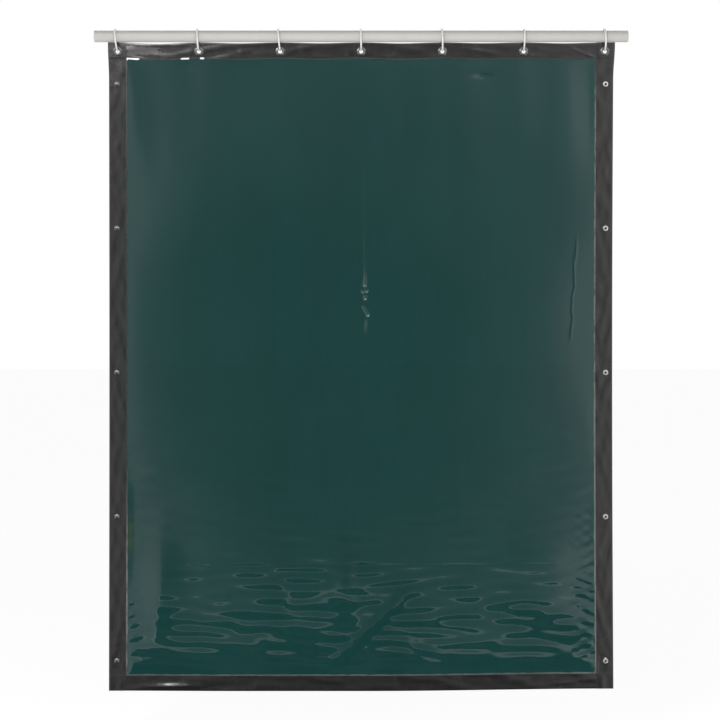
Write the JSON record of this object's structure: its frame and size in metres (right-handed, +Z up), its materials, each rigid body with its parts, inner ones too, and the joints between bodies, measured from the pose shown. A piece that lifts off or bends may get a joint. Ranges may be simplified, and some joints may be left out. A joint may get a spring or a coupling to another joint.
{
  "type": "welding curtain screen",
  "caption": "See-through dark green welding curtain with black hems, hung by plastic snap rings from a tube rail and edged with press fasteners.",
  "frame": {"origin": "on the rail's axis, midway between its ends", "axes": "+X along the rail to the right as seen from the front, +Y towards the rear, +Z up"},
  "size_m": [1.48, 0.0644, 1.8385],
  "materials": {
    "rail_paint": "satin light grey paint",
    "ring_nylon": "moulded white nylon",
    "blackened_metal": "smooth black enamel",
    "nickel_plate": "bright nickel plate",
    "black_vinyl": "glossy black vinyl strip",
    "green_film": "glossy dark green see-through vinyl film"
  },
  "bodies": {
    "rail": {"rail_tube": "rail_paint"},
    "ring_1": {"ring_1": "ring_nylon"},
    "ring_2": {"ring_2": "ring_nylon"},
    "ring_3": {"ring_3": "ring_nylon"},
    "ring_4": {"ring_4": "ring_nylon"},
    "ring_5": {"ring_5": "ring_nylon"},
    "ring_6": {"ring_6": "ring_nylon"},
    "ring_7": {"ring_7": "ring_nylon"},
    "curtain": {"film_sheet": "green_film", "top_hem": "black_vinyl", "bottom_hem": "black_vinyl", "left_hem": "black_vinyl", "eyelet_1": "blackened_metal", "eyelet_washer_1": "blackened_metal", "snap_cap_1": "blackened_metal", "snap_cap_2": "blackened_metal", "snap_cap_3": "blackened_metal", "snap_cap_4": "blackened_metal", "snap_cap_5": "blackened_metal", "snap_socket_1": "nickel_plate", "snap_socket_2": "nickel_plate", "snap_socket_3": "nickel_plate", "snap_socket_4": "nickel_plate", "snap_socket_5": "nickel_plate"},
    "eyelet_2": {"eyelet_2": "blackened_metal", "eyelet_washer_2": "blackened_metal"},
    "eyelet_3": {"eyelet_3": "blackened_metal", "eyelet_washer_3": "blackened_metal"},
    "eyelet_4": {"eyelet_4": "blackened_metal", "eyelet_washer_4": "blackened_metal"},
    "eyelet_5": {"eyelet_5": "blackened_metal", "eyelet_washer_5": "blackened_metal"},
    "eyelet_6": {"eyelet_6": "blackened_metal", "eyelet_washer_6": "blackened_metal"},
    "leading_edge": {"right_hem": "black_vinyl", "eyelet_7": "blackened_metal", "eyelet_washer_7": "blackened_metal", "snap_stud_1": "nickel_plate", "snap_stud_2": "nickel_plate", "snap_stud_3": "nickel_plate", "snap_stud_4": "nickel_plate", "snap_stud_5": "nickel_plate", "snap_post_1": "nickel_plate", "snap_post_2": "nickel_plate", "snap_post_3": "nickel_plate", "snap_post_4": "nickel_plate", "snap_post_5": "nickel_plate"}
  },
  "joints": [
    {"name": "curtain_shift", "type": "slide", "parent": "rail", "child": "ring_1", "axis": [1, 0, 0], "range_m": [-0.05, 0.05]},
    {"name": "curtain_draw", "type": "slide", "parent": "ring_1", "child": "ring_7", "axis": [1, 0, 0], "range_m": [-0.9464, 0], "deforming": ["film_sheet", "top_hem", "bottom_hem"]},
    {"name": "ring_2_slide", "type": "slide", "parent": "ring_1", "child": "ring_2", "axis": [1, 0, 0], "range_m": [-0.15783, 0]},
    {"name": "ring_3_slide", "type": "slide", "parent": "ring_1", "child": "ring_3", "axis": [1, 0, 0], "range_m": [-0.31557, 0]},
    {"name": "ring_4_slide", "type": "slide", "parent": "ring_1", "child": "ring_4", "axis": [1, 0, 0], "range_m": [-0.4733, 0]},
    {"name": "ring_5_slide", "type": "slide", "parent": "ring_1", "child": "ring_5", "axis": [1, 0, 0], "range_m": [-0.63103, 0]},
    {"name": "ring_6_slide", "type": "slide", "parent": "ring_1", "child": "ring_6", "axis": [1, 0, 0], "range_m": [-0.78877, 0]},
    {"name": "curtain_swing", "type": "hinge", "parent": "ring_1", "child": "curtain", "pos_m": [-0.676, 0, -0.0331], "axis": [1, 0, 0], "range_deg": [-30, 30]},
    {"name": "eyelet_2_swing", "type": "hinge", "parent": "ring_2", "child": "eyelet_2", "pos_m": [-0.45067, 0, -0.0331], "axis": [1, 0, 0], "range_deg": [-30, 30]},
    {"name": "eyelet_3_swing", "type": "hinge", "parent": "ring_3", "child": "eyelet_3", "pos_m": [-0.22533, 0, -0.0331], "axis": [1, 0, 0], "range_deg": [-30, 30]},
    {"name": "eyelet_4_swing", "type": "hinge", "parent": "ring_4", "child": "eyelet_4", "pos_m": [0, 0, -0.0331], "axis": [1, 0, 0], "range_deg": [-30, 30]},
    {"name": "eyelet_5_swing", "type": "hinge", "parent": "ring_5", "child": "eyelet_5", "pos_m": [0.22533, 0, -0.0331], "axis": [1, 0, 0], "range_deg": [-30, 30]},
    {"name": "eyelet_6_swing", "type": "hinge", "parent": "ring_6", "child": "eyelet_6", "pos_m": [0.45067, 0, -0.0331], "axis": [1, 0, 0], "range_deg": [-30, 30]},
    {"name": "leading_edge_swing", "type": "hinge", "parent": "ring_7", "child": "leading_edge", "pos_m": [0.676, 0, -0.0331], "axis": [1, 0, 0], "range_deg": [-30, 30]}
  ],
  "couplings": [
    {"joint": "ring_2_slide", "follows": "curtain_draw", "ratio": 0.16667},
    {"joint": "ring_3_slide", "follows": "curtain_draw", "ratio": 0.33333},
    {"joint": "ring_4_slide", "follows": "curtain_draw", "ratio": 0.5},
    {"joint": "ring_5_slide", "follows": "curtain_draw", "ratio": 0.66667},
    {"joint": "ring_6_slide", "follows": "curtain_draw", "ratio": 0.83333},
    {"joint": "eyelet_2_swing", "follows": "curtain_swing", "ratio": 1},
    {"joint": "eyelet_3_swing", "follows": "curtain_swing", "ratio": 1},
    {"joint": "eyelet_4_swing", "follows": "curtain_swing", "ratio": 1},
    {"joint": "eyelet_5_swing", "follows": "curtain_swing", "ratio": 1},
    {"joint": "eyelet_6_swing", "follows": "curtain_swing", "ratio": 1},
    {"joint": "leading_edge_swing", "follows": "curtain_swing", "ratio": 1}
  ]
}
